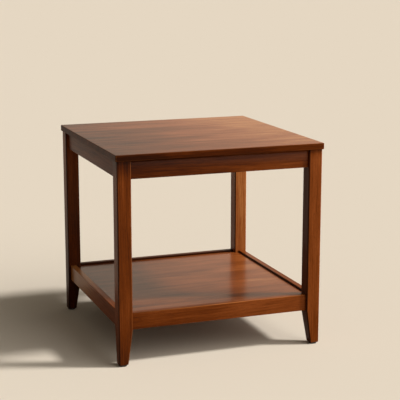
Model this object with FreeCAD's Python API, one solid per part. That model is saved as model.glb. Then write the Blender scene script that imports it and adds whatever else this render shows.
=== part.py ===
import FreeCAD, Part
import math
import os

# End table with a sunken shelf: four tapered legs, aprons and lower rails dowelled into them,
# a top screwed up from corner blocks and a shelf carried on cleats.
# Millimetres, Z up, origin on the floor under the middle of the top, front towards -Y.

# Top panel
table_height = 590.0            # floor to the upper face of the top
top_width = 610.0
top_depth = 605.0
top_thickness = 18.0
top_overhang = 4.0              # past the outer faces of the legs
top_edge_round = 2.0
top_corner_round = 3.0

# Legs, tapered on their two inner faces from the lower rails down to the foot
leg_side = 40.0
foot_side = 27.0
leg_edge_round = 3.0
foot_bevel = 1.5

# Aprons under the top and lower rails round the shelf
board_setback = 8.0             # from the outer face of a leg to the face of a board
apron_height = 51.0
apron_thickness = 18.0
rail_top = 149.0                # floor to the upper edge of the lower rails
rail_height = 47.0
rail_thickness = 18.0
board_edge_round = 1.5

# Shelf, sunk below the upper edges of the lower rails
shelf_thickness = 12.0
shelf_drop = 6.0
shelf_gap = 0.3                 # all round, to the rails and the legs
shelf_edge_round = 1.0

# Cleats that carry the shelf
cleat_thickness = 16.0
cleat_rise = 5.0                # from the lower edge of a rail up to the cleat
cleat_gap = 0.5                 # at each end of a cleat
cleat_screw_inset = 60.0        # from the end of a cleat to its outer screw

# Corner blocks behind the aprons
block_height = 18.0
block_face = 36.0               # length glued to each apron
block_leg_gap = 1.0             # to the inner edge of the leg
block_screw_depth = 16.0        # from an apron to the head of its screw

# Dowels
dowel_diameter = 8.0
dowel_length = 30.0
dowel_bevel = 1.0
dowel_clearance = 0.1           # round a dowel in its hole
dowel_end_gap = 1.0             # past each end of a dowel
dowel_edge = 9.0                # from the edge of a board to the first dowel
dowel_pitch = 20.0

# Countersunk wood screws with a cross recess
screw_diameter = 4.0
screw_head_diameter = 8.0
screw_head_rim = 0.4
screw_tip_length = 4.0
screw_tip_diameter = 0.8
screw_clearance = 0.1           # round a screw in its hole
screw_cover = 4.0               # wood left beyond the tip of a screw
screw_head_sink = 0.5           # from the surface of the wood down to the head
recess_length = 4.4
recess_width = 0.9
recess_depth = 1.5

# Foot glides, each nailed up into its leg
glide_height = 4.5
glide_diameter = 23.0
glide_edge_round = 1.0
nail_diameter = 2.2
nail_length = 18.0
nail_tip_length = 3.0
nail_tip_diameter = 0.4
nail_head_diameter = 6.0
nail_head_thickness = 1.0
nail_head_sink = 0.6            # from the underside of a glide up to the head of its nail
nail_clearance = 0.1

# Planes that the pieces share
under_top = table_height - top_thickness
apron_bottom = under_top - apron_height
rail_bottom = rail_top - rail_height
shelf_top = rail_top - shelf_drop
shelf_bottom = shelf_top - shelf_thickness
cleat_bottom = rail_bottom + cleat_rise
block_bottom = under_top - block_height
leg_face_x = top_width / 2 - top_overhang
leg_face_y = top_depth / 2 - top_overhang
leg_inner_x = leg_face_x - leg_side
leg_inner_y = leg_face_y - leg_side

# Each side of the table: how far its leg faces stand from the middle, and half the space between its legs
sides = ("front", "back", "left", "right")
leg_face = {"front": leg_face_y, "back": leg_face_y, "left": leg_face_x, "right": leg_face_x}
half_space = {"front": leg_inner_x, "back": leg_inner_x, "left": leg_inner_y, "right": leg_inner_y}
corners = {
    "front_left": (-1, -1),
    "front_right": (1, -1),
    "back_left": (-1, 1),
    "back_right": (1, 1),
}
upward = FreeCAD.Vector(0, 0, 1)


def at(side, along, outward, up):
    """A point on one side of the table: along that side, outward from the middle, and up from the floor."""
    if side == "front":
        return FreeCAD.Vector(along, -outward, up)
    if side == "back":
        return FreeCAD.Vector(along, outward, up)
    if side == "left":
        return FreeCAD.Vector(-outward, along, up)
    return FreeCAD.Vector(outward, along, up)


def board(side, half_length, inner, outer, bottom, top):
    """A plain board that runs along one side of the table."""
    box = FreeCAD.BoundBox()
    box.add(at(side, -half_length, inner, bottom))
    box.add(at(side, half_length, outer, top))
    return Part.makeBox(box.XLength, box.YLength, box.ZLength, FreeCAD.Vector(box.XMin, box.YMin, box.ZMin))


def eased(piece, side, radius, heights):
    """The board with its long edges at the given heights rounded over."""
    along = at(side, 1, 0, 0)
    edges = []
    for edge in piece.Edges:
        direction = edge.tangentAt(edge.FirstParameter)
        level = edge.CenterOfMass.z
        if abs(direction.dot(along)) > 0.999 and any(abs(level - height) < 0.001 for height in heights):
            edges.append(edge)
    return piece.makeFillet(radius, edges)


def turned(profile, base, direction):
    """A turned solid: radius and distance pairs spun about the direction from the base point."""
    points = [FreeCAD.Vector(radius, 0, distance) for radius, distance in profile]
    face = Part.Face(Part.makePolygon(points + points[:1]))
    solid = face.revolve(FreeCAD.Vector(0, 0, 0), upward, 360)
    solid.Placement = FreeCAD.Placement(base, FreeCAD.Rotation(upward, direction))
    return solid


def drilled(piece, holes):
    """The piece with every hole that reaches it cut out."""
    near = [hole for hole in holes if hole.BoundBox.intersect(piece.BoundBox)]
    return piece.cut(near) if near else piece


def apron(side):
    outer = leg_face[side] - board_setback
    plain = board(side, half_space[side], outer - apron_thickness, outer, apron_bottom, under_top)
    return eased(plain, side, board_edge_round, [apron_bottom])


def rail(side):
    outer = leg_face[side] - board_setback
    plain = board(side, half_space[side], outer - rail_thickness, outer, rail_bottom, rail_top)
    return eased(plain, side, board_edge_round, [rail_bottom, rail_top])


def dowel_seats(bottom, top, thickness):
    """Middle and direction of each dowel at the ends of four boards.

    The front and back dowels are set out from the lower edge and the side dowels from the upper edge,
    so that the two rows pass each other inside a leg.
    """
    seats = []
    for side in sides:
        first, step = (top - dowel_edge, -dowel_pitch)
        if side in ("front", "back"):
            first, step = (bottom + dowel_edge, dowel_pitch)
        outward = leg_face[side] - board_setback - thickness / 2
        for end in (-1, 1):
            for height in (first, first + step):
                seats.append((at(side, end * half_space[side], outward, height), at(side, 1, 0, 0)))
    return seats


def dowel(middle, direction):
    half = dowel_length / 2
    radius = dowel_diameter / 2
    profile = [(0, -half), (radius - dowel_bevel, -half), (radius, dowel_bevel - half),
               (radius, half - dowel_bevel), (radius - dowel_bevel, half), (0, half)]
    return turned(profile, middle, direction)


def dowel_hole(middle, direction):
    half = dowel_length / 2 + dowel_end_gap
    radius = dowel_diameter / 2 + dowel_clearance
    return Part.makeCylinder(radius, 2 * half, middle - direction * half, direction)


def screw(head, direction, length):
    """A countersunk screw whose head lies at the given point and which is driven in the given direction."""
    shank = screw_diameter / 2
    rim = screw_head_diameter / 2
    neck = screw_head_rim + rim - shank
    profile = [(0, 0), (rim, 0), (rim, screw_head_rim), (shank, neck), (shank, length - screw_tip_length),
               (screw_tip_diameter / 2, length), (0, length)]
    solid = turned(profile, FreeCAD.Vector(0, 0, 0), upward)
    half_length = recess_length / 2
    half_width = recess_width / 2
    slot = Part.makeBox(recess_length, recess_width, recess_depth, FreeCAD.Vector(-half_length, -half_width, 0))
    cross = Part.makeBox(recess_width, recess_length, recess_depth, FreeCAD.Vector(-half_width, -half_length, 0))
    solid = solid.cut([slot, cross])
    solid.Placement = FreeCAD.Placement(head, FreeCAD.Rotation(upward, direction))
    return solid


def screw_hole(head, direction, length, access):
    """The hole for such a screw, with a bore of the given length that lets the head in."""
    shank = screw_diameter / 2 + screw_clearance
    rim = screw_head_diameter / 2 + screw_clearance
    neck = screw_head_rim + rim - shank
    profile = [(0, -access), (rim, -access), (rim, screw_head_rim), (shank, neck),
               (shank, length + screw_clearance), (0, length + screw_clearance)]
    return turned(profile, head, direction)


def rounded_square(corner, side, inset, height):
    """The outline of a leg at one height, with its outer corner in place and its other faces drawn in."""
    sign_x, sign_y = corners[corner]
    x_ends = sorted((sign_x * (leg_face_x - inset), sign_x * (leg_face_x - side + inset)))
    y_ends = sorted((sign_y * (leg_face_y - inset), sign_y * (leg_face_y - side + inset)))
    low_x, high_x = x_ends
    low_y, high_y = y_ends
    swing = leg_edge_round * (1 - math.sqrt(0.5))
    around = [((low_x, low_y), (1, 1)), ((high_x, low_y), (-1, 1)),
              ((high_x, high_y), (-1, -1)), ((low_x, high_y), (1, -1))]
    arcs = []
    for index, ((x, y), (in_x, in_y)) in enumerate(around):
        ends = [FreeCAD.Vector(x, y + in_y * leg_edge_round, height),
                FreeCAD.Vector(x + in_x * leg_edge_round, y, height)]
        if index % 2:
            ends.reverse()
        middle = FreeCAD.Vector(x + in_x * swing, y + in_y * swing, height)
        arcs.append(Part.Arc(ends[0], middle, ends[1]).toShape())
    edges = []
    for arc, following in zip(arcs, arcs[1:] + arcs[:1]):
        edges.append(arc)
        edges.append(Part.LineSegment(arc.Vertexes[-1].Point, following.Vertexes[0].Point).toShape())
    return Part.Wire(edges)


def leg(corner):
    outlines = [
        rounded_square(corner, foot_side, foot_bevel, glide_height),
        rounded_square(corner, foot_side, 0, glide_height + foot_bevel),
        rounded_square(corner, leg_side, 0, rail_bottom),
        rounded_square(corner, leg_side, 0, under_top),
    ]
    return Part.makeLoft(outlines, True, True)


def table_top():
    place = FreeCAD.Vector(-top_width / 2, -top_depth / 2, under_top)
    panel = Part.makeBox(top_width, top_depth, top_thickness, place)
    uprights = [edge for edge in panel.Edges if abs(edge.tangentAt(edge.FirstParameter).z) > 0.999]
    panel = panel.makeFillet(top_corner_round, uprights)
    rims = [edge for edge in panel.Edges if edge.BoundBox.ZLength < 0.001]
    return panel.makeFillet(top_edge_round, rims)


def shelf_panel():
    outer_x = leg_face_x - board_setback - rail_thickness - shelf_gap
    outer_y = leg_face_y - board_setback - rail_thickness - shelf_gap
    notch_x = leg_inner_x - shelf_gap
    notch_y = leg_inner_y - shelf_gap
    quarter = [(outer_x, notch_y), (notch_x, notch_y), (notch_x, outer_y)]
    outline = list(quarter)
    outline += [(-x, y) for x, y in reversed(quarter)]
    outline += [(-x, -y) for x, y in quarter]
    outline += [(x, -y) for x, y in reversed(quarter)]
    points = [FreeCAD.Vector(x, y, shelf_bottom) for x, y in outline]
    face = Part.Face(Part.makePolygon(points + points[:1]))
    panel = face.extrude(upward * shelf_thickness)
    upper = [edge for edge in panel.Edges if edge.BoundBox.ZMin > shelf_top - 0.001]
    return panel.makeChamfer(shelf_edge_round, upper)


def cleat_place(side):
    """Half length, inner face and outer face of a cleat; the side cleats stop at the front and back ones."""
    outer = leg_face[side] - board_setback - rail_thickness
    inner = outer - cleat_thickness
    half_length = half_space[side] - cleat_gap
    if side in ("left", "right"):
        half_length = leg_face["front"] - board_setback - rail_thickness - cleat_thickness - cleat_gap
    return half_length, inner, outer


def cleat(side):
    half_length, inner, outer = cleat_place(side)
    return board(side, half_length, inner, outer, cleat_bottom, shelf_bottom)


def rail_screw_seats():
    """Three screws along each cleat, driven outward into its rail."""
    length = cleat_thickness + rail_thickness - screw_cover - screw_head_sink
    height = (cleat_bottom + shelf_bottom) / 2
    seats = []
    for side in sides:
        half_length, inner, outer = cleat_place(side)
        reach = half_length - cleat_screw_inset
        for along in (-reach, 0, reach):
            seats.append((at(side, along, inner + screw_head_sink, height), at(side, 0, 1, 0), length))
    return seats


def shelf_screw_seats():
    """Two screws up through each cleat into the shelf, half way between the screws in its rail."""
    length = shelf_bottom - cleat_bottom + shelf_thickness - screw_cover - screw_head_sink
    seats = []
    for side in sides:
        half_length, inner, outer = cleat_place(side)
        reach = (half_length - cleat_screw_inset) / 2
        for along in (-reach, reach):
            seats.append((at(side, along, (inner + outer) / 2, cleat_bottom + screw_head_sink), upward, length))
    return seats


def block_reach():
    """How far along an apron, from the inner corner of the aprons, a corner block starts and ends."""
    leg_shows = leg_side - board_setback - apron_thickness
    start = 2 * leg_shows + block_leg_gap * math.sqrt(2)
    return start, start + block_face


def block_point(corner, from_side, from_end, height):
    """A point behind one corner, measured from the inner faces of its two aprons."""
    sign_x, sign_y = corners[corner]
    inner_x = leg_face_x - board_setback - apron_thickness
    inner_y = leg_face_y - board_setback - apron_thickness
    return FreeCAD.Vector(sign_x * (inner_x - from_side), sign_y * (inner_y - from_end), height)


def corner_block(corner):
    start, end = block_reach()
    outline = [(start, 0), (end, 0), (0, end), (0, start)]
    points = [block_point(corner, from_side, from_end, block_bottom) for from_side, from_end in outline]
    face = Part.Face(Part.makePolygon(points + points[:1]))
    return face.extrude(upward * block_height)


def block_screw_seats():
    """Two screws through each corner block, one into each of its aprons."""
    start, end = block_reach()
    middle = (start + end) / 2
    height = block_bottom + block_height / 2
    length = block_screw_depth + apron_thickness - screw_cover
    seats = []
    for corner, (sign_x, sign_y) in corners.items():
        to_side = block_point(corner, block_screw_depth, middle, height)
        to_end = block_point(corner, middle, block_screw_depth, height)
        seats.append((to_side, FreeCAD.Vector(sign_x, 0, 0), length))
        seats.append((to_end, FreeCAD.Vector(0, sign_y, 0), length))
    return seats


def top_screw_seats():
    """One screw up through the middle of each corner block into the top."""
    start, end = block_reach()
    middle = (start + end) / 4
    length = block_height + top_thickness - screw_cover - screw_head_sink
    head_height = block_bottom + screw_head_sink
    return [(block_point(corner, middle, middle, head_height), upward, length) for corner in corners]


def foot_middle(corner, height):
    sign_x, sign_y = corners[corner]
    return FreeCAD.Vector(sign_x * (leg_face_x - foot_side / 2), sign_y * (leg_face_y - foot_side / 2), height)


def foot_glide(corner):
    base = foot_middle(corner, 0)
    pad = Part.makeCylinder(glide_diameter / 2, glide_height, base)
    lower_rim = [edge for edge in pad.Edges if edge.BoundBox.ZMax < 0.001]
    pad = pad.makeFillet(glide_edge_round, lower_rim)
    head_room = nail_head_sink + nail_head_thickness
    head_hole = Part.makeCylinder(nail_head_diameter / 2 + nail_clearance, head_room, base)
    shank_hole = Part.makeCylinder(nail_diameter / 2 + nail_clearance, glide_height, base)
    return pad.cut([head_hole, shank_hole])


def glide_nail(corner):
    head = nail_head_diameter / 2
    shank = nail_diameter / 2
    profile = [(0, 0), (head, 0), (head, nail_head_thickness), (shank, nail_head_thickness),
               (shank, nail_length - nail_tip_length), (nail_tip_diameter / 2, nail_length), (0, nail_length)]
    return turned(profile, foot_middle(corner, nail_head_sink), upward)


def nail_hole(corner):
    depth = nail_head_sink + nail_length + nail_clearance
    return Part.makeCylinder(nail_diameter / 2 + nail_clearance, depth, foot_middle(corner, 0))


# Fixings first, because their holes are cut in the pieces that they join
apron_dowels = dowel_seats(apron_bottom, under_top, apron_thickness)
rail_dowels = dowel_seats(rail_bottom, rail_top, rail_thickness)
flush_screws = rail_screw_seats() + shelf_screw_seats() + top_screw_seats()
dowel_holes = [dowel_hole(*seat) for seat in apron_dowels + rail_dowels]
screw_holes = [screw_hole(*seat, 2 * screw_head_sink) for seat in flush_screws]
screw_holes += [screw_hole(*seat, block_face) for seat in block_screw_seats()]
nail_holes = [nail_hole(corner) for corner in corners]

pieces = {"table_top": drilled(table_top(), screw_holes)}
for corner in corners:
    pieces["leg_" + corner] = drilled(leg(corner), dowel_holes + nail_holes)
    pieces["corner_block_" + corner] = drilled(corner_block(corner), screw_holes)
    pieces["foot_glide_" + corner] = foot_glide(corner)
for side in sides:
    pieces["apron_" + side] = drilled(apron(side), dowel_holes + screw_holes)
    pieces["shelf_rail_" + side] = drilled(rail(side), dowel_holes + screw_holes)
    pieces["shelf_cleat_" + side] = drilled(cleat(side), screw_holes)
pieces["shelf_panel"] = drilled(shelf_panel(), screw_holes)
pieces["apron_dowels"] = Part.makeCompound([dowel(*seat) for seat in apron_dowels])
pieces["shelf_rail_dowels"] = Part.makeCompound([dowel(*seat) for seat in rail_dowels])
pieces["corner_block_screws"] = Part.makeCompound([screw(*seat) for seat in block_screw_seats()])
pieces["top_screws"] = Part.makeCompound([screw(*seat) for seat in top_screw_seats()])
pieces["cleat_screws"] = Part.makeCompound([screw(*seat) for seat in rail_screw_seats()])
pieces["shelf_screws"] = Part.makeCompound([screw(*seat) for seat in shelf_screw_seats()])
pieces["glide_nails"] = Part.makeCompound([glide_nail(corner) for corner in corners])

os.makedirs("parts", exist_ok=True)
for name, shape in pieces.items():
    shape.exportStep(os.path.join("parts", name + ".step"))
    print(name, len(shape.Solids), "solids", round(shape.Volume), "mm3", "valid" if shape.isValid() else "invalid")
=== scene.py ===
import math
import random
import bmesh
import bpy
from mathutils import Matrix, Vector


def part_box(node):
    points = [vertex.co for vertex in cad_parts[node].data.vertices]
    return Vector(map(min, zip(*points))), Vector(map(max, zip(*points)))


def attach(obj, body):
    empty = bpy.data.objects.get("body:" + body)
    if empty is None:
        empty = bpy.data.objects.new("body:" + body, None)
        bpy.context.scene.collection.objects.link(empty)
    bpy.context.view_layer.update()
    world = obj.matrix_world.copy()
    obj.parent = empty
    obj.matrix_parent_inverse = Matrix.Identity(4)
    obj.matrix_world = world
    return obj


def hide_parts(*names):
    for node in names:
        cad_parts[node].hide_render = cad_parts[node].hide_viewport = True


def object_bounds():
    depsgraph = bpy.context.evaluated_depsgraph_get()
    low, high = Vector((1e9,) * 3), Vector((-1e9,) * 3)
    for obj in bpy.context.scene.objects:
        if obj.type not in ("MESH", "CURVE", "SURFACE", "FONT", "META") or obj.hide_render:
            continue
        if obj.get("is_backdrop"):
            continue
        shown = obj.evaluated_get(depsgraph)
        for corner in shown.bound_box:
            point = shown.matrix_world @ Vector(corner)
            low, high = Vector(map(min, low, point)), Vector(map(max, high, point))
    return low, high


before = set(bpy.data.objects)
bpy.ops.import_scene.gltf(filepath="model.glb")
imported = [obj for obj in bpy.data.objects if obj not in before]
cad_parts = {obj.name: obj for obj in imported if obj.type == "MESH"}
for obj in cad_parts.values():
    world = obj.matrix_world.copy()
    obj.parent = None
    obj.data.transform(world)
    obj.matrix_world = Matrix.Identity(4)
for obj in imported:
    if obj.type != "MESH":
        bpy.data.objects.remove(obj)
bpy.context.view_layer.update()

# Legs
# Four square sticks of a close-grained hardwood, planed, sawn to a taper on their two inner faces
# below the shelf and eased along every edge, then stained red-brown and sprayed with satin lacquer.
corners = ("front_left", "front_right", "back_left", "back_right")
foot_side = 0.027
foot_bevel = 0.0015
leg_edge_round = 0.003
round_steps = 3
taper_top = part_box("shelf_rail_front")[0].z
stain_deep = "#2a0f03"
stain_dark = "#471c03"
stain_mid = "#6a3109"
stain_light = "#8c491e"
stain_thin = "#b0703c"
# how much lighter or darker each leg is at its low and its high end: stain and painted light, darker at
# the feet and on the shaded back left leg, lighter on the lit back right leg
leg_tones = {
    "front_left": (-0.16, 0.11),
    "front_right": (0.05, 0.31),
    "back_left": (-0.45, 0.12),
    "back_right": (0.36, 0.40),
}
# length and depth of the painted shadow on each leg, under the overhang of the top
leg_top_painted_shadow = {
    "front_left": {"length": 0.06, "depth": 0.36},
    "front_right": {"length": 0.03, "depth": 0.26},
    "back_left": {"length": 0.03, "depth": 0.20},
    "back_right": {"length": 0.03, "depth": 0.20},
}
# wear of the stain on a face: above zero it was sanded thin, below zero the face is darkened with
# painted shade
sanded = 1.0
plain = 0.0
painted_shade = -1.0
# painted shade on the left faces of the right legs, where they mirror the dark inside of the table
left_face_painted_shade = {"front_left": plain, "front_right": -0.7, "back_left": plain, "back_right": -0.2}
# lacquer on the frame, and how strongly broad clouds and narrow bands of darker wood show through it
frame_coat = 0.17
leg_coats = {"front_left": frame_coat, "front_right": 0.06, "back_left": frame_coat,
             "back_right": frame_coat}
frame_cloud = 0.7
frame_band = {"length": 0.24, "width": 0.012, "share": 0.42}
# a piece that isn't glued up counts as one board, wider than any piece
one_board = 10.0
# how far along, beside and below a board the heart of its tree may lie
heart_spans = ((0.0, 4.0), (0.05, 0.12), (0.04, 0.10))
draw = random.Random(11)


def linear(colour):
    """An sRGB hex colour as linear red, green, blue and alpha."""
    parts = [int(colour[i:i + 2], 16) / 255 for i in (1, 3, 5)]
    return [c / 12.92 if c <= 0.04045 else ((c + 0.055) / 1.055) ** 2.4 for c in parts] + [1.0]


def add(tree, kind, inputs=None, stops=(), **settings):
    """Adds a node with its settings.

    Inputs take a value or another node's output, and stops are a colour ramp's places and colours.
    """
    node = tree.nodes.new(kind)
    for name, value in settings.items():
        setattr(node, name, value)
    for name, source in (inputs or {}).items():
        if isinstance(source, bpy.types.NodeSocket):
            tree.links.new(source, node.inputs[name])
        else:
            node.inputs[name].default_value = source
    for index, (place, colour) in enumerate(stops):
        ramp = node.color_ramp.elements
        stop = ramp[index] if index < len(ramp) else ramp.new(place)
        stop.position = place
        stop.color = linear(colour)
    return node


def ring_scale(spacing):
    """The scale of a wave texture with rings this far apart; at a scale of 1 they lie pi / 10 apart."""
    return math.pi / 10 / spacing


def stained_figure():
    """The figure of the stained wood, read along, across and through a board, in metres."""
    inputs = {"Place": "Vector", "Board Width": "Float", "Heart": "Vector", "Tone": "Float",
              "Cloud": "Float", "Band Size": "Vector", "Band": "Float"}
    outputs = {"Colour": "Color", "Roughness": "Float", "Height": "Float"}
    tree = bpy.data.node_groups.new("stained wood figure", "ShaderNodeTree")
    for way, sockets in (("INPUT", inputs), ("OUTPUT", outputs)):
        for name, kind in sockets.items():
            tree.interface.new_socket(name, in_out=way, socket_type="NodeSocket" + kind)
    given = add(tree, "NodeGroupInput").outputs

    # every glued board has its own heart: its place is counted from its own middle and moved by chance
    board_offset = (3.0, 0.05, 0.03)
    width = given["Board Width"]
    place = add(tree, "ShaderNodeSeparateXYZ", {0: given["Place"]}).outputs
    count = add(tree, "ShaderNodeMath", {0: place["Y"], 1: width}, operation="DIVIDE")
    board = add(tree, "ShaderNodeMath", {0: count.outputs[0]}, operation="FLOOR")
    chance = add(tree, "ShaderNodeTexWhiteNoise", {"W": board.outputs[0]},
                 noise_dimensions="1D").outputs
    half_on = add(tree, "ShaderNodeMath", {0: board.outputs[0], 1: 0.5}, operation="ADD")
    middle = add(tree, "ShaderNodeMath", {0: half_on.outputs[0], 1: width}, operation="MULTIPLY")
    across = add(tree, "ShaderNodeMath", {0: place["Y"], 1: middle.outputs[0]}, operation="SUBTRACT")
    local = add(tree, "ShaderNodeCombineXYZ",
                {"X": place["X"], "Y": across.outputs[0], "Z": place["Z"]})
    cut = add(tree, "ShaderNodeVectorMath", {0: local.outputs[0], 1: given["Heart"]}, operation="ADD")
    apart = add(tree, "ShaderNodeVectorMath", {0: chance["Color"], 1: board_offset},
                operation="MULTIPLY")
    own = add(tree, "ShaderNodeVectorMath", {0: cut.outputs[0], 1: apart.outputs[0]}, operation="ADD")

    # length, width and depth of each mark in metres, and its detail; fibres and pores are drawn about
    # three times as wide as real ones, which would be too fine to show
    marks = {
        "drift": ((0.70, 0.16, 0.16), 2.0),
        "blotch": ((0.30, 0.11, 0.11), 2.0),
        "band": (given["Band Size"], 2.0),
        "streak": ((0.09, 0.0035, 0.0035), 3.0),
        "fibre": ((0.03, 0.0010, 0.0010), 2.0),
        "pore": ((0.012, 0.0006, 0.0006), 1.0),
    }
    ring_spacing = 0.006
    grain_sway = 0.03
    noise = {}
    grain_place = own
    for name, (size, detail) in marks.items():
        scaled = add(tree, "ShaderNodeVectorMath", {0: grain_place.outputs[0], 1: size},
                     operation="DIVIDE")
        made = add(tree, "ShaderNodeTexNoise",
                   {"Vector": scaled.outputs[0], "Scale": 1.0, "Detail": detail})
        noise[name] = made.outputs["Fac"]
        if name == "blotch":
            # the rings and all the finer marks follow the slow wander of the grain
            shift = add(tree, "ShaderNodeMath", {0: noise["drift"], 1: grain_sway, 2: -grain_sway / 2},
                        operation="MULTIPLY_ADD")
            sway = add(tree, "ShaderNodeCombineXYZ", {"Y": shift.outputs[0], "Z": shift.outputs[0]})
            grain_place = add(tree, "ShaderNodeVectorMath", {0: own.outputs[0], 1: sway.outputs[0]},
                              operation="ADD")
    rings = add(tree, "ShaderNodeTexWave",
                {"Vector": grain_place.outputs[0], "Scale": ring_scale(ring_spacing), "Distortion": 1.0,
                 "Detail": 2.0, "Detail Scale": 0.6},
                wave_type="RINGS", rings_direction="X", wave_profile="SAW")

    # tone from 0, dark, to 1, light: the piece's own tone, which carries painted light and shade, and a
    # share of every mark
    base_tone = -0.01
    noise_middle = 0.5
    stain_stops = ((0.0, stain_deep), (0.2, stain_dark), (0.45, stain_mid), (0.75, stain_light),
                   (1.0, stain_thin))
    tone = add(tree, "ShaderNodeMath", {0: given["Tone"], 1: base_tone}, operation="ADD")
    cloud = add(tree, "ShaderNodeMath", {0: noise["blotch"], 1: noise_middle}, operation="SUBTRACT")
    band = add(tree, "ShaderNodeMath", {0: noise["band"], 1: noise_middle}, operation="SUBTRACT")
    shares = (
        (rings.outputs["Fac"], 0.09),
        (noise["streak"], 0.40),
        (noise["fibre"], 0.34),
        (cloud.outputs[0], given["Cloud"]),
        (band.outputs[0], given["Band"]),
        (chance["Value"], 0.10),
    )
    for mark, share in shares:
        tone = add(tree, "ShaderNodeMath", {0: mark, 1: share, 2: tone.outputs[0]},
                   operation="MULTIPLY_ADD")
    stain = add(tree, "ShaderNodeValToRGB", {"Fac": tone.outputs[0]}, stain_stops)

    # open pores hold more stain
    pore_edge = 0.40
    pore_floor = 0.30
    pore_share = 0.55
    open_pore = add(tree, "ShaderNodeMapRange",
                    {"Value": noise["pore"], "From Min": pore_edge, "From Max": pore_floor,
                     "To Max": pore_share})
    pored = add(tree, "ShaderNodeMix",
                {"Factor": open_pore.outputs[0], "A": stain.outputs["Color"], "B": linear(stain_deep)},
                data_type="RGBA")

    # worn faces: the stain is thin in patches where it was sanded, and a wear below zero darkens the
    # face with painted shade
    sanded_share = 0.3
    painted_shade_share = 0.9
    wear = add(tree, "ShaderNodeAttribute", attribute_name="stain_wear_and_painted_shade").outputs["Fac"]
    patchy = add(tree, "ShaderNodeMapRange",
                 {"Value": noise["streak"], "From Min": 0.3, "From Max": 0.7, "To Max": sanded_share})
    bare = add(tree, "ShaderNodeMath", {0: wear, 1: patchy.outputs[0]}, operation="MULTIPLY")
    thin = add(tree, "ShaderNodeMix",
               {"Factor": bare.outputs[0], "A": pored.outputs["Result"], "B": linear(stain_thin)},
               data_type="RGBA")
    darkening = add(tree, "ShaderNodeMath", {0: wear, 1: -painted_shade_share},
              operation="MULTIPLY", use_clamp=True)
    shaded_stain = add(tree, "ShaderNodeMix",
                {"Factor": darkening.outputs[0], "A": thin.outputs["Result"], "B": linear(stain_deep)},
                data_type="RGBA")

    rough_dark = 0.52
    rough_light = 0.38
    dull = add(tree, "ShaderNodeMapRange",
               {"Value": tone.outputs[0], "To Min": rough_dark, "To Max": rough_light})
    sunk = add(tree, "ShaderNodeMath", {0: open_pore.outputs[0], 1: -1.0, 2: noise["fibre"]},
               operation="MULTIPLY_ADD")
    add(tree, "NodeGroupOutput",
        {"Colour": shaded_stain.outputs["Result"], "Roughness": dull.outputs[0], "Height": sunk.outputs[0]})
    return tree


wood_figure = stained_figure()
grain_turn = {"X": (0, 0, 0), "Y": (0, 0, -math.pi / 2), "Z": (0, math.pi / 2, 0)}


def blank_material(name):
    """A new material with no nodes in it."""
    material = bpy.data.materials.new(name)
    material.use_nodes = True
    material.node_tree.nodes.clear()
    return material


def stained_wood(node, grain, tones, board_width=one_board, coat=frame_coat, cloud=frame_cloud,
                 band=frame_band, painted_shadow_end=None):
    """Hardwood, wiped with red-brown stain and sprayed with satin lacquer.

    To the eye: straight dark and light streaks that shade from one tone to another along the piece,
    partly stain and partly painted light and shade; lighter where an edge was sanded, darkened with
    painted shade where a face's wear is below zero and with a painted shadow at the high end where one
    is given, under a clear coat that mirrors softly at a low angle.
    """
    low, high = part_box(node)
    x, y, z = (low + high) / 2
    middle = {"X": (x, y, z), "Y": (y, -x, z), "Z": (z, y, -x)}[grain]
    home = (-middle[0], board_width / 2 - middle[1], -middle[2])
    heart = [draw.uniform(*span) for span in heart_spans]
    axis = "XYZ".index(grain)
    material = blank_material("stained hardwood " + node)
    tree = material.node_tree
    where = add(tree, "ShaderNodeTexCoord")
    turn = add(tree, "ShaderNodeMapping",
               {"Vector": where.outputs["Object"], "Location": home, "Rotation": grain_turn[grain]})
    along = add(tree, "ShaderNodeSeparateXYZ", {0: where.outputs["Object"]})
    tone = add(tree, "ShaderNodeMapRange",
               {"Value": along.outputs[grain], "From Min": low[axis], "From Max": high[axis],
                "To Min": tones[0], "To Max": tones[1]})
    # a painted shadow darkens the last stretch of the piece at its high end
    if painted_shadow_end:
        shade = add(tree, "ShaderNodeMapRange",
                    {"Value": along.outputs[grain], "From Min": high[axis] - painted_shadow_end["length"],
                     "From Max": high[axis], "To Max": painted_shadow_end["depth"]},
                    interpolation_type="SMOOTHSTEP")
        tone = add(tree, "ShaderNodeMath", {0: tone.outputs[0], 1: shade.outputs[0]},
                   operation="SUBTRACT")
    figure = add(tree, "ShaderNodeGroup",
                 {"Place": turn.outputs[0], "Board Width": board_width, "Heart": heart,
                  "Tone": tone.outputs[0], "Cloud": cloud, "Band": band["share"],
                  "Band Size": (band["length"], band["width"], band["width"])},
                 node_tree=wood_figure)
    bump = add(tree, "ShaderNodeBump",
               {"Height": figure.outputs["Height"], "Strength": 0.2, "Distance": 0.0003})
    wood = add(tree, "ShaderNodeBsdfPrincipled",
               {"Base Color": figure.outputs["Colour"], "Roughness": figure.outputs["Roughness"],
                "Normal": bump.outputs[0], "IOR": 1.45, "Specular IOR Level": 0.05,
                "Coat Weight": coat, "Coat Roughness": 0.2, "Coat IOR": 1.3})
    add(tree, "ShaderNodeOutputMaterial", {"Surface": wood.outputs[0]})
    return material


def new_mesh():
    """An empty mesh in the making, with the wear and painted shade of each face that the stain reads.
    """
    bm = bmesh.new()
    bm.faces.layers.float.new("stain_wear_and_painted_shade")
    return bm


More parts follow.
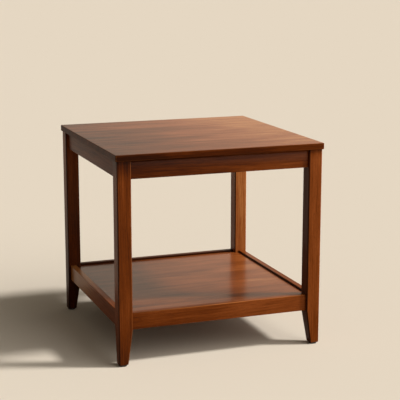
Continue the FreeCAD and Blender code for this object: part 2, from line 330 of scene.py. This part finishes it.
def add_stick(bm, sections, wears):
    """A square stick from the foot up through sections.

    A section gives its spans in x and y, its height and the round of its corners. Wears, with painted
    shade where they are below zero, go round the stick: right face, back right edge, back face, back
    left edge, left face, front left edge, front face and front right edge.
    """
    mark = bm.faces.layers.float["stain_wear_and_painted_shade"]
    rings = []
    for span_x, span_y, height, radius in sections:
        (left, right), (front, back) = sorted(span_x), sorted(span_y)
        centres = ((right - radius, back - radius), (left + radius, back - radius),
                   (left + radius, front + radius), (right - radius, front + radius))
        ring = []
        for quarter, (x, y) in enumerate(centres):
            for step in range(round_steps + 1):
                angle = (quarter + step / round_steps) * math.pi / 2
                spot = (x + radius * math.cos(angle), y + radius * math.sin(angle), height)
                ring.append(bm.verts.new(spot))
        rings.append(ring)
    for lower, upper in zip(rings, rings[1:]):
        for index in range(len(lower)):
            face = bm.faces.new((lower[index - 1], lower[index], upper[index], upper[index - 1]))
            quarter, step = divmod(index, round_steps + 1)
            face[mark] = wears[2 * quarter + 1] if step else wears[2 * quarter]
    bm.faces.new(rings[0])
    bm.faces.new(rings[-1])


def place_piece(bm, name, node, *materials):
    """Makes a finished piece that stands for a CAD node; flat faces stay flat beside rounded edges."""
    bmesh.ops.recalc_face_normals(bm, faces=bm.faces)
    for face in bm.faces:
        face.smooth = True
    mesh = bpy.data.meshes.new(name)
    bm.to_mesh(mesh)
    bm.free()
    for material in materials:
        mesh.materials.append(material)
    piece = bpy.data.objects.new(name, mesh)
    bpy.context.scene.collection.objects.link(piece)
    flat = piece.modifiers.new("flat faces", "WEIGHTED_NORMAL")
    depsgraph = bpy.context.evaluated_depsgraph_get()
    done = bpy.data.meshes.new_from_object(piece.evaluated_get(depsgraph),
                                           preserve_all_data_layers=True, depsgraph=depsgraph)
    piece.modifiers.remove(flat)
    piece.data = done
    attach(piece, "root")
    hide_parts(node)


for corner in corners:
    node = "leg_" + corner
    low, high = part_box(node)
    leg_side = high.x - low.x
    outer_x, inward_x = (low.x, 1) if "left" in corner else (high.x, -1)
    outer_y, inward_y = (low.y, 1) if "front" in corner else (high.y, -1)
    stations = ((low.z, foot_side, foot_bevel), (low.z + foot_bevel, foot_side, 0.0),
                (taper_top, leg_side, 0.0), (high.z, leg_side, 0.0))
    sections = []
    for height, side, inset in stations:
        span_x = (outer_x + inward_x * inset, outer_x + inward_x * (side - inset))
        span_y = (outer_y + inward_y * inset, outer_y + inward_y * (side - inset))
        sections.append((span_x, span_y, height, leg_edge_round))
    # the front left edge, turned away from the light, is darkened with painted shade
    wears = (plain, sanded, plain, sanded, left_face_painted_shade[corner], painted_shade, plain, sanded)
    bm = new_mesh()
    add_stick(bm, sections, wears)
    leg_wood = stained_wood(node, "Z", leg_tones[corner], coat=leg_coats[corner],
                            painted_shadow_end=leg_top_painted_shadow[corner])
    place_piece(bm, corner + "_leg", node, leg_wood)

# Aprons
# Four boards under the top, dowelled between the legs and set back from their faces. They are of the
# same stained hardwood, with the grain along the board and the lower edges eased.
sides = {"front": (0, -1, 0), "back": (0, 1, 0), "left": (-1, 0, 0), "right": (1, 0, 0)}
board_edge_round = 0.0015
shortest_board = 0.1
touch = 0.0001
turned_in = 0.1
apron_cloud = 0.25
# how much lighter or darker each apron is at its two ends: stain, and on the front apron painted light,
# darker at the left and lighter towards the lit right
apron_tones = {
    "front": (-0.30, 0.06),
    "back": (-0.16, -0.16),
    "left": (-0.16, -0.16),
    "right": (-0.16, -0.16),
}


def add_block(bm, low, high):
    """A square block between two corners."""
    for vert in bmesh.ops.create_cube(bm, size=1.0)["verts"]:
        vert.co = [low[i] if vert.co[i] < 0 else high[i] for i in range(3)]


def ease(bm, edges, radius, segments=round_steps, wear=sanded):
    """Rounds edges over and gives the new faces their wear."""
    mark = bm.faces.layers.float["stain_wear_and_painted_shade"]
    made = bmesh.ops.bevel(bm, geom=edges, offset=radius, segments=segments, profile=0.5,
                           affect="EDGES")
    for face in made["faces"]:
        face[mark] = wear


def place_board(name, node, eased_heights, tones, cloud=frame_cloud, inside_painted_shade=None):
    """A board between two legs, its long edges eased and worn at the given heights.

    Its inner face and upper inner edge may be darkened with painted shade.
    """
    low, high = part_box(node)
    axis = 0 if high.x - low.x > high.y - low.y else 1
    bm = new_mesh()
    add_block(bm, low, high)
    for height, wear in eased_heights.items():
        edges = []
        for edge in bm.edges:
            first, second = (vert.co for vert in edge.verts)
            if abs(first[axis] - second[axis]) > shortest_board and abs(first.z - height) < touch:
                edges.append(edge)
        ease(bm, edges, board_edge_round, wear=wear)
    # painted shade on the faces turned inwards, above the lower edge
    if inside_painted_shade is not None:
        mark = bm.faces.layers.float["stain_wear_and_painted_shade"]
        inward = Vector((0, 0, 0))
        inward[1 - axis] = -1 if low[1 - axis] > 0 else 1
        bm.normal_update()
        for face in bm.faces:
            above_edge = face.calc_center_median().z > low.z + board_edge_round
            if above_edge and face.normal.dot(inward) > turned_in:
                face[mark] = inside_painted_shade
    place_piece(bm, name, node, stained_wood(node, "XY"[axis], tones, cloud=cloud))


for side in sides:
    node = "apron_" + side
    place_board(side + "_apron", node, {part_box(node)[0].z: sanded}, apron_tones[side], apron_cloud)

# Shelf rails
# Four boards round the shelf, dowelled between the legs like the aprons, with all long edges eased.
# Their upper edges stand above the shelf as a low lip, and its inner side is darkened with painted
# shade.
# how much lighter or darker each rail is at its two ends: stain and painted light; the front rail is
# lighter towards the lit right, the right rail lighter and the back rail darker as they are lit and
# shaded, and the back of the left rail carries a painted reflection of a bright floor
rail_tones = {
    "front": (-0.01, 0.16),
    "back": (-0.20, -0.20),
    "left": (-0.08, 0.85),
    "right": (0.15, 0.15),
}
# wear of each rail's upper edge: sanded pale where things slide over it, and paler on the front and
# right rails as a painted highlight where the light catches them
rail_lip_wear_and_highlight = {"front": 2.5, "back": 0.5, "left": 0.5, "right": 2.0}
# painted shade on the inner side of each lip, where the shadow beside it falls
lip_inside_painted_shade = -0.85
for side in sides:
    node = "shelf_rail_" + side
    low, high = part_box(node)
    eased_heights = {low.z: sanded, high.z: rail_lip_wear_and_highlight[side]}
    place_board(side + "_shelf_rail", node, eased_heights, rail_tones[side],
                inside_painted_shade=lip_inside_painted_shade)

# Dowels
# Turned beech pins, two in each end of every apron and rail, glued into the board and into the leg.
# All of them are hidden once the frame is together.
beech = ("#dcb98c", "#cfa677", "#b98a58")
beech_ring_spacing = 0.0025


def bare_wood(name, colours, ring_spacing, grain):
    """Bare planed or turned wood: pale early wood and darker late wood in fine lines, quite dull."""
    fibre_length = 0.05
    fibre_width = 0.0012
    heart = (0.3, 0.07, 0.05)
    ring_share = 0.55
    fibre_share = 0.45
    stops = zip((0.15, 0.55, 0.85), colours)
    material = blank_material(name)
    tree = material.node_tree
    where = add(tree, "ShaderNodeTexCoord")
    turn = add(tree, "ShaderNodeMapping",
               {"Vector": where.outputs["Object"], "Location": heart, "Rotation": grain_turn[grain]})
    rings = add(tree, "ShaderNodeTexWave",
                {"Vector": turn.outputs[0], "Scale": ring_scale(ring_spacing), "Distortion": 3.0,
                 "Detail": 2.0, "Detail Scale": 0.4},
                wave_type="RINGS", rings_direction="X", wave_profile="SAW")
    size = (fibre_length, fibre_width, fibre_width)
    scaled = add(tree, "ShaderNodeVectorMath", {0: turn.outputs[0], 1: size}, operation="DIVIDE")
    fibre = add(tree, "ShaderNodeTexNoise", {"Vector": scaled.outputs[0], "Scale": 1.0, "Detail": 3.0})
    marked = add(tree, "ShaderNodeMath", {0: rings.outputs["Fac"], 1: ring_share}, operation="MULTIPLY")
    tone = add(tree, "ShaderNodeMath", {0: fibre.outputs["Fac"], 1: fibre_share, 2: marked.outputs[0]},
               operation="MULTIPLY_ADD")
    colour = add(tree, "ShaderNodeValToRGB", {"Fac": tone.outputs[0]}, stops)
    bump = add(tree, "ShaderNodeBump",
               {"Height": fibre.outputs["Fac"], "Strength": 0.2, "Distance": 0.0003})
    dull = add(tree, "ShaderNodeMapRange", {"Value": tone.outputs[0], "To Min": 0.7, "To Max": 0.55})
    wood = add(tree, "ShaderNodeBsdfPrincipled",
               {"Base Color": colour.outputs["Color"], "Roughness": dull.outputs[0],
                "Normal": bump.outputs[0], "IOR": 1.5, "Specular IOR Level": 0.4})
    add(tree, "ShaderNodeOutputMaterial", {"Surface": wood.outputs[0]})
    return material


def finish_node(node, material):
    """Gives a CAD node, whose shape is right as it is, its material."""
    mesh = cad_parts[node].data
    mesh.materials.clear()
    mesh.materials.append(material)


turned_beech = bare_wood("turned beech", beech, beech_ring_spacing, "X")
for node in ("apron_dowels", "shelf_rail_dowels"):
    finish_node(node, turned_beech)

# Shelf cleats
# Strips of planed pine, screwed to the inner faces of the rails, which carry the shelf. They are out
# of sight, so they are left bare.
pine = ("#d9b27a", "#caa067", "#a8733d")
pine_ring_spacing = 0.004
planed_pine = {}
for grain in "XY":
    planed_pine[grain] = bare_wood("planed pine along " + grain, pine, pine_ring_spacing, grain)
for side in sides:
    finish_node("shelf_cleat_" + side, planed_pine["X" if side in ("front", "back") else "Y"])

# Shelf
# A panel glued up from boards that run from side to side, notched round the legs and let in between
# the rails. It is stained like the frame, has its upper edges broken and a thicker coat of lacquer.
shelf_board_width = 0.09
shelf_edge_break = 0.001
shelf_edge_steps = 2
shelf_leg_gap = 0.0003
# tones at the left and right ends of the shelf: stain, and painted light that makes it lighter towards
# the right, where the light falls in under the top
shelf_tones = (-0.12, 0.28)
shelf_coat = 0.66
shelf_cloud = 0.7
shelf_band = {"length": 0.2, "width": 0.03, "share": 0.6}
low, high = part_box("shelf_panel")
notch_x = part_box("leg_front_right")[0].x - shelf_leg_gap
notch_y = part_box("leg_back_right")[0].y - shelf_leg_gap
quarter = [(high.x, notch_y), (notch_x, notch_y), (notch_x, high.y)]
outline = quarter + [(-x, y) for x, y in reversed(quarter)]
outline += [(-x, -y) for x, y in outline]
bm = new_mesh()
underside = bm.faces.new([bm.verts.new((x, y, low.z)) for x, y in outline])
for made in bmesh.ops.extrude_face_region(bm, geom=[underside], use_keep_orig=True)["geom"]:
    if isinstance(made, bmesh.types.BMVert):
        made.co.z = high.z
upper_edges = [e for e in bm.edges if min(v.co.z for v in e.verts) > high.z - touch]
ease(bm, upper_edges, shelf_edge_break, shelf_edge_steps)
shelf_wood = stained_wood("shelf_panel", "X", shelf_tones, shelf_board_width, shelf_coat, shelf_cloud,
                          shelf_band)
place_piece(bm, "shelf_board", "shelf_panel", shelf_wood)

# Corner blocks
# Short lengths of the same bare pine, glued and screwed behind the aprons in the four corners. Screws
# up through them hold the top down.
for corner in corners:
    finish_node("corner_block_" + corner, planed_pine["X"])

# Table top
# A panel glued up from boards that run from side to side, its corners softened and its edges rounded
# over. It is finished like the shelf; its cut edges drank more stain and lacquer and are darker.
top_board_width = 0.1
top_corner_round = 0.003
top_edge_round = 0.002
top_edge_wear = 0.4
# tones at the left and right ends of the top and of its rim: stain, and painted light that makes them
# lighter towards the right, where the light comes from
top_tones = (-0.26, 0.52)
top_coat = 0.4
top_cloud = 0.5
top_band = {"length": 0.16, "width": 0.02, "share": 0.7}
rim_tones = (-0.36, -0.10)
rim_coat = 0.05
level_face = 0.9
low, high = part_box("table_top")
bm = new_mesh()
add_block(bm, low, high)
upright_edges = [e for e in bm.edges if abs(e.verts[0].co.z - e.verts[1].co.z) > touch]
ease(bm, upright_edges, top_corner_round)
level_edges = [e for e in bm.edges if abs(e.verts[0].co.z - e.verts[1].co.z) < touch]
ease(bm, level_edges, top_edge_round, wear=top_edge_wear)
bm.normal_update()
for face in bm.faces:
    face.material_index = 0 if face.normal.z >= level_face else 1
top_wood = stained_wood("table_top", "X", top_tones, top_board_width, top_coat, top_cloud, top_band)
rim_wood = stained_wood("table_top", "X", rim_tones, coat=rim_coat)
place_piece(bm, "table_top_panel", "table_top", top_wood, rim_wood)

# Screws
# Countersunk steel wood screws with a cross recess, zinc plated: through the cleats into the rails and
# the shelf, and through the corner blocks into the aprons and the top. Each stops at its own turn.
screw_sizes = {"Shank": 0.004, "Head": 0.008, "Rim": 0.0004, "Tip": 0.0008, "Recess": 0.0044,
               "Slot": 0.0009, "Recess Depth": 0.0015}
screw_sides = 24
turn_seed = 5
head_sink = 0.0005
cleat_screw_inset = 0.06
rail_screw_steps = (-1, 0, 1)
shelf_screw_steps = (-0.5, 0.5)
block_face = 0.036
block_screw_depth = 0.016
zinc_dark = "#8f8c80"
zinc_light = "#b9b6a6"


def plated_steel():
    """Zinc plated steel: a greyish bright metal, clouded and a little dull."""
    cloud_size = 0.002
    material = blank_material("zinc plated steel")
    tree = material.node_tree
    where = add(tree, "ShaderNodeTexCoord")
    cloud = add(tree, "ShaderNodeTexNoise",
                {"Vector": where.outputs["Object"], "Scale": 1 / cloud_size, "Detail": 3.0})
    colour = add(tree, "ShaderNodeValToRGB", {"Fac": cloud.outputs["Fac"]},
                 ((0.3, zinc_dark), (0.7, zinc_light)))
    dull = add(tree, "ShaderNodeMapRange",
               {"Value": cloud.outputs["Fac"], "To Min": 0.28, "To Max": 0.42})
    metal = add(tree, "ShaderNodeBsdfPrincipled",
                {"Base Color": colour.outputs["Color"], "Roughness": dull.outputs[0], "Metallic": 1.0})
    add(tree, "ShaderNodeOutputMaterial", {"Surface": metal.outputs[0]})
    return material


def screw_tree():
    """A countersunk screw on every point, driven along the point's own direction."""
    tree = bpy.data.node_groups.new("countersunk screws", "GeometryNodeTree")
    tree.interface.new_socket("Points", in_out="INPUT", socket_type="NodeSocketGeometry")
    for name in ("Length", *screw_sizes):
        tree.interface.new_socket(name, in_out="INPUT", socket_type="NodeSocketFloat")
    tree.interface.new_socket("Finish", in_out="INPUT", socket_type="NodeSocketMaterial")
    tree.interface.new_socket("Screws", in_out="OUTPUT", socket_type="NodeSocketGeometry")
    given = add(tree, "NodeGroupInput").outputs

    # stations along the axis: outer rim, inner rim, neck, start of the tip and end of the tip
    cone = add(tree, "ShaderNodeMath", {0: given["Head"], 1: given["Shank"]}, operation="SUBTRACT")
    neck = add(tree, "ShaderNodeMath", {0: cone.outputs[0], 1: 0.5, 2: given["Rim"]},
               operation="MULTIPLY_ADD")
    tip = add(tree, "ShaderNodeMath", {0: given["Length"], 1: given["Shank"]}, operation="SUBTRACT")
    heights = (0.0, given["Rim"], neck.outputs[0], tip.outputs[0], given["Length"])
    widths = (given["Head"], given["Head"], given["Shank"], given["Shank"], given["Tip"])
    line = add(tree, "GeometryNodeMeshLine", {"Count": len(heights)})
    axis = add(tree, "GeometryNodeMeshToCurve", {0: line.outputs[0]})
    station = add(tree, "GeometryNodeInputIndex")
    chosen = []
    for values in (heights, widths):
        switch = add(tree, "GeometryNodeIndexSwitch", {"Index": station.outputs[0]}, data_type="FLOAT")
        while len(switch.index_switch_items) < len(values):
            switch.index_switch_items.new()
        for index, value in enumerate(values):
            if isinstance(value, bpy.types.NodeSocket):
                tree.links.new(value, switch.inputs[index + 1])
            else:
                switch.inputs[index + 1].default_value = value
        chosen.append(switch.outputs[0])
    up = add(tree, "ShaderNodeCombineXYZ", {"Z": chosen[0]})
    stretched = add(tree, "GeometryNodeSetPosition",
                    {"Geometry": axis.outputs[0], "Position": up.outputs[0]})
    radius = add(tree, "ShaderNodeMath", {0: chosen[1], 1: 0.5}, operation="MULTIPLY")
    ring = add(tree, "GeometryNodeCurvePrimitiveCircle", {"Resolution": screw_sides, "Radius": 1.0})
    body = add(tree, "GeometryNodeCurveToMesh",
               {"Curve": stretched.outputs[0], "Profile Curve": ring.outputs[0],
                "Scale": radius.outputs[0], "Fill Caps": True})

    # the cross recess is cut out of the head by two bars, half of each above it
    deep = add(tree, "ShaderNodeMath", {0: given["Recess Depth"], 1: 2.0}, operation="MULTIPLY")
    cross = add(tree, "GeometryNodeMeshBoolean", {"Mesh 1": body.outputs[0]},
                operation="DIFFERENCE", solver="EXACT")
    for x, y in (("Recess", "Slot"), ("Slot", "Recess")):
        size = add(tree, "ShaderNodeCombineXYZ", {"X": given[x], "Y": given[y], "Z": deep.outputs[0]})
        cutter = add(tree, "GeometryNodeMeshCube", {"Size": size.outputs[0]})
        tree.links.new(cutter.outputs[0], cross.inputs["Mesh 2"])

    driven = add(tree, "GeometryNodeInputNamedAttribute", {"Name": "driven"}, data_type="FLOAT_VECTOR")
    aimed = add(tree, "FunctionNodeAlignRotationToVector", {"Vector": driven.outputs[0]}, axis="Z")
    turn = add(tree, "FunctionNodeRandomValue", {"Max": (0.0, 0.0, math.pi / 2), "Seed": turn_seed},
               data_type="FLOAT_VECTOR")
    stop = add(tree, "FunctionNodeEulerToRotation", {0: turn.outputs[0]})
    turned = add(tree, "FunctionNodeRotateRotation", {0: aimed.outputs[0], 1: stop.outputs[0]},
                 rotation_space="LOCAL")
    screws = add(tree, "GeometryNodeInstanceOnPoints",
                 {"Points": given["Points"], "Instance": cross.outputs[0],
                  "Rotation": turned.outputs[0]})
    real = add(tree, "GeometryNodeRealizeInstances", {0: screws.outputs[0]})
    plated = add(tree, "GeometryNodeSetMaterial",
                 {"Geometry": real.outputs[0], "Material": given["Finish"]})
    add(tree, "NodeGroupOutput", {0: plated.outputs[0]})
    return tree


steel = plated_steel()
screw_nodes = screw_tree()


def place_screws(name, node, seats):
    """Screws in place of a CAD node. A seat is the place of a screw's head and the way it is driven."""
    head, way = seats[-1]
    length = (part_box(node)[1] - head).dot(way)
    points = bpy.data.meshes.new(name)
    points.from_pydata([head for head, way in seats], [], [])
    driven = points.attributes.new("driven", "FLOAT_VECTOR", "POINT")
    for spot, (head, way) in zip(driven.data, seats):
        spot.vector = way
    piece = bpy.data.objects.new(name, points)
    bpy.context.scene.collection.objects.link(piece)
    made = piece.modifiers.new("screws", "NODES")
    made.node_group = screw_nodes
    values = dict(screw_sizes, Length=length, Finish=steel)
    for socket in screw_nodes.interface.items_tree:
        if socket.name in values:
            made[socket.identifier] = values[socket.name]
    depsgraph = bpy.context.evaluated_depsgraph_get()
    mesh = bpy.data.meshes.new_from_object(piece.evaluated_get(depsgraph), depsgraph=depsgraph)
    piece.modifiers.remove(made)
    piece.data = mesh
    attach(piece, "root")
    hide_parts(node)


upward = Vector((0, 0, 1))
rail_seats = []
shelf_seats = []
for side, outward in sides.items():
    low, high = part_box("shelf_cleat_" + side)
    middle = (low + high) / 2
    half = (high - low) / 2
    outward = Vector(outward)
    along = outward.cross(upward)
    reach = max(half) - cleat_screw_inset
    head = middle - outward * (min(half.x, half.y) - head_sink)
    rail_seats += [(head + along * reach * step, outward) for step in rail_screw_steps]
    below = middle - upward * (half.z - head_sink)
    shelf_seats += [(below + along * reach * step, upward) for step in shelf_screw_steps]
apron_seats = []
top_seats = []
for corner in corners:
    low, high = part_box("corner_block_" + corner)
    to_x = Vector((-1 if "left" in corner else 1, 0, 0))
    to_y = Vector((0, -1 if "front" in corner else 1, 0))
    behind = Vector((low.x if "left" in corner else high.x, low.y if "front" in corner else high.y,
                     (low.z + high.z) / 2))
    centre = high.x - low.x - block_face / 2
    apron_seats.append((behind - to_x * block_screw_depth - to_y * centre, to_x))
    apron_seats.append((behind - to_x * centre - to_y * block_screw_depth, to_y))
    below = behind - (to_x + to_y) * centre / 2
    below.z = low.z + head_sink
    top_seats.append((below, upward))
place_screws("cleat_to_rail_screws", "cleat_screws", rail_seats)
place_screws("cleat_to_shelf_screws", "shelf_screws", shelf_seats)
place_screws("block_to_apron_screws", "corner_block_screws", apron_seats)
place_screws("block_to_top_screws", "top_screws", top_seats)

# Foot glides
# Moulded pads of dark nylon under the feet, on which the table slides without marking a floor. Each is
# held by one plated steel nail sunk into it.
nylon_dark = "#1c1613"
nylon_light = "#2b231e"


def moulded_nylon():
    """Moulded nylon: dark brown, matt, with the fine sparked grain of its mould."""
    grain_size = 0.0008
    material = blank_material("moulded nylon")
    tree = material.node_tree
    where = add(tree, "ShaderNodeTexCoord")
    grain = add(tree, "ShaderNodeTexNoise",
                {"Vector": where.outputs["Object"], "Scale": 1 / grain_size, "Detail": 2.0})
    colour = add(tree, "ShaderNodeValToRGB", {"Fac": grain.outputs["Fac"]},
                 ((0.3, nylon_dark), (0.7, nylon_light)))
    dull = add(tree, "ShaderNodeMapRange",
               {"Value": grain.outputs["Fac"], "To Min": 0.5, "To Max": 0.62})
    bump = add(tree, "ShaderNodeBump",
               {"Height": grain.outputs["Fac"], "Strength": 0.2, "Distance": 0.0001})
    pad = add(tree, "ShaderNodeBsdfPrincipled",
              {"Base Color": colour.outputs["Color"], "Roughness": dull.outputs[0],
               "Normal": bump.outputs[0], "IOR": 1.53})
    add(tree, "ShaderNodeOutputMaterial", {"Surface": pad.outputs[0]})
    return material


nylon = moulded_nylon()
for corner in corners:
    finish_node("foot_glide_" + corner, nylon)
finish_node("glide_nails", steel)

# Floor, light and camera
# A plain pale floor in a pale room that is brighter at the front right. A light from the right, hidden
# from the lacquer, casts the shadows, and a broad soft one from the front right fills them.
floor_radius = 25
floor_sides = 96
floor_colour = "#dad2c5"
floor_bounce = "#8c7d68"
room_colour = "#e5d7c2"
room_light_dim = 0.037
room_light_bright = 0.46
room_light_azimuth = 40
light_colour = (1.0, 0.955, 0.9)
light_distance = 3
# angles in degrees, azimuth counted from the front to the right
lights = {
    "side light": {"azimuth": 70, "elevation": 43, "spread": 8, "strength": 3.1, "mirrored": False},
    "front light": {"azimuth": 44, "elevation": 32, "spread": 60, "strength": 1.5, "mirrored": True},
}
camera_aim = Vector((0.0392, -0.0122, 0.3888))
camera_azimuth = -20.20
camera_elevation = 11.79
camera_distance = 3.579
camera_lens = 107.79


def bearing(azimuth, elevation):
    """The way towards something that stands at these angles."""
    turn = math.radians(azimuth)
    rise = math.radians(elevation)
    return Vector((math.sin(turn) * math.cos(rise), -math.cos(turn) * math.cos(rise), math.sin(rise)))


def seen(tree):
    """1 for rays that show a thing, straight, mirrored or through glass, and 0 for all others."""
    ray = add(tree, "ShaderNodeLightPath").outputs
    either = add(tree, "ShaderNodeMath", {0: ray["Is Camera Ray"], 1: ray["Is Glossy Ray"]},
                 operation="ADD")
    any_way = add(tree, "ShaderNodeMath", {0: either.outputs[0], 1: ray["Is Transmission Ray"]},
                  operation="ADD", use_clamp=True)
    return any_way.outputs[0]


# matt floor paint: even and pale, with no shine; it throws back less light than it shows, so that the
# underside of the table stays dark
floor_paint = blank_material("matt floor paint")
tree = floor_paint.node_tree
pale = add(tree, "ShaderNodeMix",
           {"Factor": seen(tree), "A": linear(floor_bounce), "B": linear(floor_colour)},
           data_type="RGBA")
matt = add(tree, "ShaderNodeBsdfPrincipled",
           {"Base Color": pale.outputs["Result"], "Roughness": 0.8, "Specular IOR Level": 0.0})
add(tree, "ShaderNodeOutputMaterial", {"Surface": matt.outputs[0]})
ground_mesh = bpy.data.meshes.new("floor")
bm = bmesh.new()
bmesh.ops.create_circle(bm, cap_ends=True, segments=floor_sides, radius=floor_radius)
bm.to_mesh(ground_mesh)
bm.free()
ground_mesh.materials.append(floor_paint)
ground = bpy.data.objects.new("floor", ground_mesh)
bpy.context.scene.collection.objects.link(ground)
ground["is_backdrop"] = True

room = bpy.data.worlds.new("pale room")
room.use_nodes = True
tree = room.node_tree
tree.nodes.clear()
way = add(tree, "ShaderNodeTexCoord")
facing = add(tree, "ShaderNodeVectorMath",
             {0: way.outputs["Generated"], 1: bearing(room_light_azimuth, 0)},
             operation="DOT_PRODUCT")
room_light = add(tree, "ShaderNodeMapRange",
                 {"Value": facing.outputs["Value"], "From Min": -1.0, "To Min": room_light_dim,
                  "To Max": room_light_bright})
strength = add(tree, "ShaderNodeMix", {"Factor": seen(tree), "A": room_light.outputs[0], "B": 1.0})
glow = add(tree, "ShaderNodeBackground",
           {"Color": linear(room_colour), "Strength": strength.outputs[0]})
add(tree, "ShaderNodeOutputWorld", {"Surface": glow.outputs[0]})
bpy.context.scene.world = room

for name, light in lights.items():
    toward = bearing(light["azimuth"], light["elevation"])
    sun = bpy.data.lights.new(name, "SUN")
    sun.energy = light["strength"]
    sun.angle = math.radians(light["spread"])
    sun.color = light_colour
    lamp = bpy.data.objects.new(name, sun)
    bpy.context.scene.collection.objects.link(lamp)
    lamp.visible_glossy = light["mirrored"]
    lamp.location = toward * light_distance
    lamp.rotation_euler = (-toward).to_track_quat("-Z", "Y").to_euler()

eye = bpy.data.cameras.new("camera")
eye.lens = camera_lens
camera = bpy.data.objects.new("camera", eye)
bpy.context.scene.collection.objects.link(camera)
toward = bearing(camera_azimuth, camera_elevation)
camera.location = camera_aim + toward * camera_distance
camera.rotation_euler = (-toward).to_track_quat("-Z", "Y").to_euler()
bpy.context.scene.camera = camera
bpy.context.scene.view_settings.view_transform = "Standard"

low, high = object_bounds()
